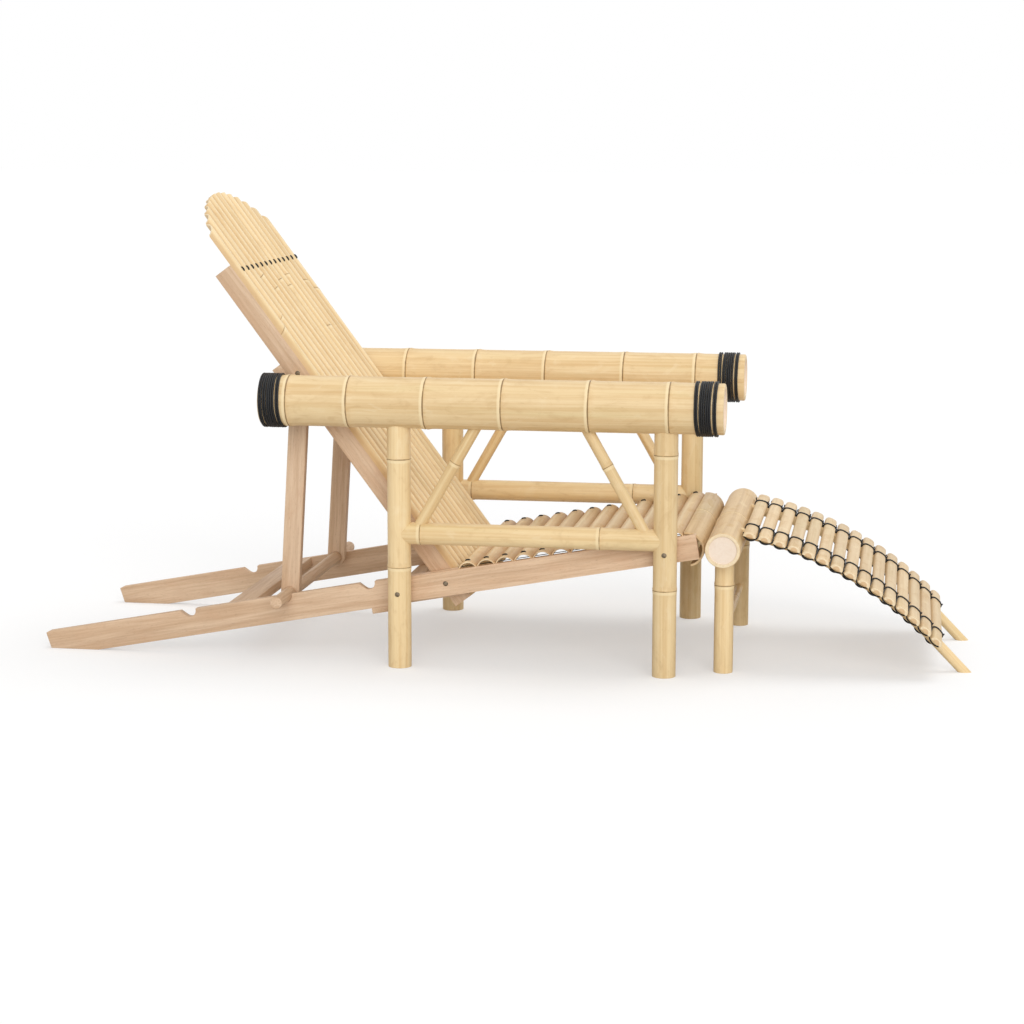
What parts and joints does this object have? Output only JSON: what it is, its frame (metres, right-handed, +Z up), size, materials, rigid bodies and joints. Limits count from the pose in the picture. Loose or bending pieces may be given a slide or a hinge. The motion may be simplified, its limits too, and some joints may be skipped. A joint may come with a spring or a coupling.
{
  "type": "lounge chair",
  "caption": "Bamboo folding recliner: culm arms and legs, slatted seat and tilting slatted back held by a notched prop, with a separate curved slatted footrest",
  "frame": {"origin": "on the floor, in the middle of the whole object's box, chair and footrest together", "axes": "+X towards the footrest, +Y to the sitter's left, +Z up"},
  "size_m": [1.9802, 0.7144, 0.9774],
  "materials": {
    "arm_culm": "smooth dried bamboo culm with a faint sheen",
    "leg_culm": "smooth dried bamboo cane",
    "seat_bamboo": "greyer split bamboo, satin",
    "back_bamboo": "split bamboo, satin",
    "slat_bamboo": "split bamboo, satin",
    "board_wood": "planed pale wood, matt",
    "black_cord": "black cord with a slight sheen",
    "bolt_steel": "dull dark steel"
  },
  "bodies": {
    "frame": {"armrest_l": "arm_culm", "armrest_r": "arm_culm", "rear_leg_l": "leg_culm", "rear_leg_r": "leg_culm", "front_leg_l": "leg_culm", "front_leg_r": "leg_culm", "side_stretcher_l": "leg_culm", "side_stretcher_r": "leg_culm", "rear_brace_l": "leg_culm", "rear_brace_r": "leg_culm", "front_brace_l": "leg_culm", "front_brace_r": "leg_culm", "arm_binding_rear_l": "black_cord", "arm_binding_rear_r": "black_cord", "arm_binding_front_l": "black_cord", "arm_binding_front_r": "black_cord", "seat_rail_l": "board_wood", "seat_rail_r": "board_wood", "notched_rail_l": "board_wood", "notched_rail_r": "board_wood", "front_cross_plank": "board_wood", "rear_cross_plank": "board_wood", "seat_slats": "seat_bamboo", "seat_front_roll": "seat_bamboo", "seat_cords": "black_cord", "leg_bolts": "bolt_steel", "leg_bolt_nuts": "bolt_steel", "pivot_bolts": "bolt_steel", "pivot_nuts": "bolt_steel"},
    "back": {"back_stile_l": "board_wood", "back_stile_r": "board_wood", "back_slats": "back_bamboo", "back_head_batten": "board_wood", "back_middle_batten": "board_wood", "back_foot_batten": "board_wood", "back_rear_batten": "board_wood", "back_stitching": "black_cord", "prop_pivot_bolts": "bolt_steel", "prop_pivot_nuts": "bolt_steel"},
    "prop": {"prop_leg_l": "board_wood", "prop_leg_r": "board_wood", "prop_dowel": "board_wood"},
    "footrest": {"footrest_roll": "seat_bamboo", "footrest_leg_l": "leg_culm", "footrest_leg_r": "leg_culm", "footrest_stretcher": "leg_culm", "footrest_pole_l": "leg_culm", "footrest_pole_r": "leg_culm", "footrest_slats": "slat_bamboo", "footrest_lashing_l": "black_cord", "footrest_lashing_r": "black_cord"}
  },
  "joints": [
    {"name": "back_raise", "type": "hinge", "parent": "frame", "child": "back", "pos_m": [-0.10305, 0, 0.1745], "axis": [0, 1, 0], "range_deg": [0, 14]},
    {"name": "prop_swing", "type": "hinge", "parent": "back", "child": "prop", "pos_m": [-0.42501, 0, 0.60802], "axis": [0, 1, 0], "range_deg": [0, 11.2]},
    {"name": "footrest_slide", "type": "slide", "parent": "frame", "child": "footrest", "axis": [1, 0, 0], "range_m": [0, 0.4]}
  ],
  "couplings": [
    {"joint": "prop_swing", "follows": "back_raise", "ratio": 0.8}
  ]
}
